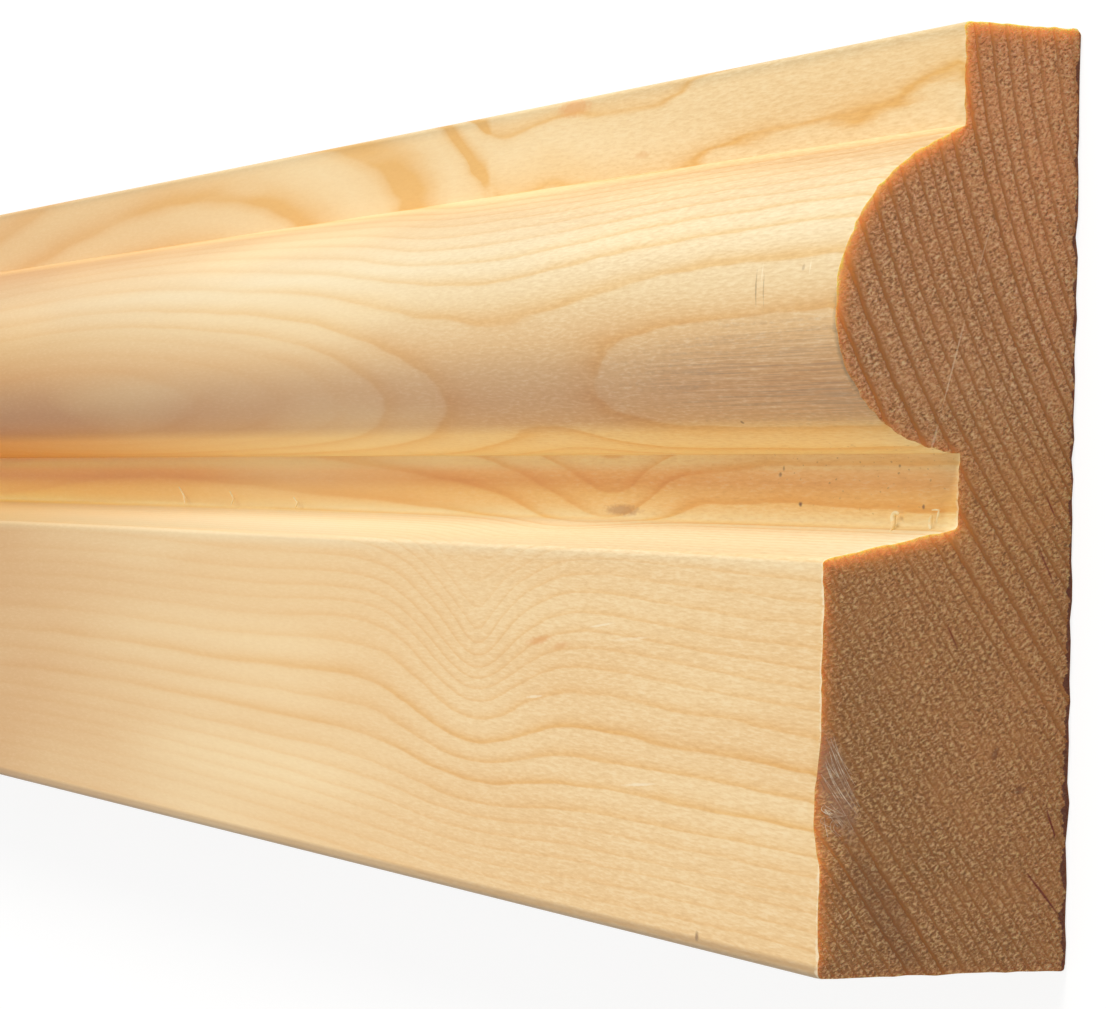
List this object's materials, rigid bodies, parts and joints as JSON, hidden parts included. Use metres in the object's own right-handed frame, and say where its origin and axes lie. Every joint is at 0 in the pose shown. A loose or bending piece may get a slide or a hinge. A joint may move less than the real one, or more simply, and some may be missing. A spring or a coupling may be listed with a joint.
{
  "type": "torus architrave",
  "caption": "Length of bare pine door and window trim with a flat back, a torus bead beside a quirk, and square-cut ends.",
  "frame": {"origin": "centre of the flat back: mid-length and mid-width, on the plane that the piece lies on", "axes": "+X along the length towards the sawn end that the picture shows, +Y across the width towards the thin edge, +Z out of the flat back towards the moulded face"},
  "size_m": [2.1, 0.069, 0.0205],
  "materials": {
    "planed_pine": "bare machined softwood, sawn at the ends"
  },
  "bodies": {
    "root": {"architrave": "planed_pine"}
  },
  "joints": []
}
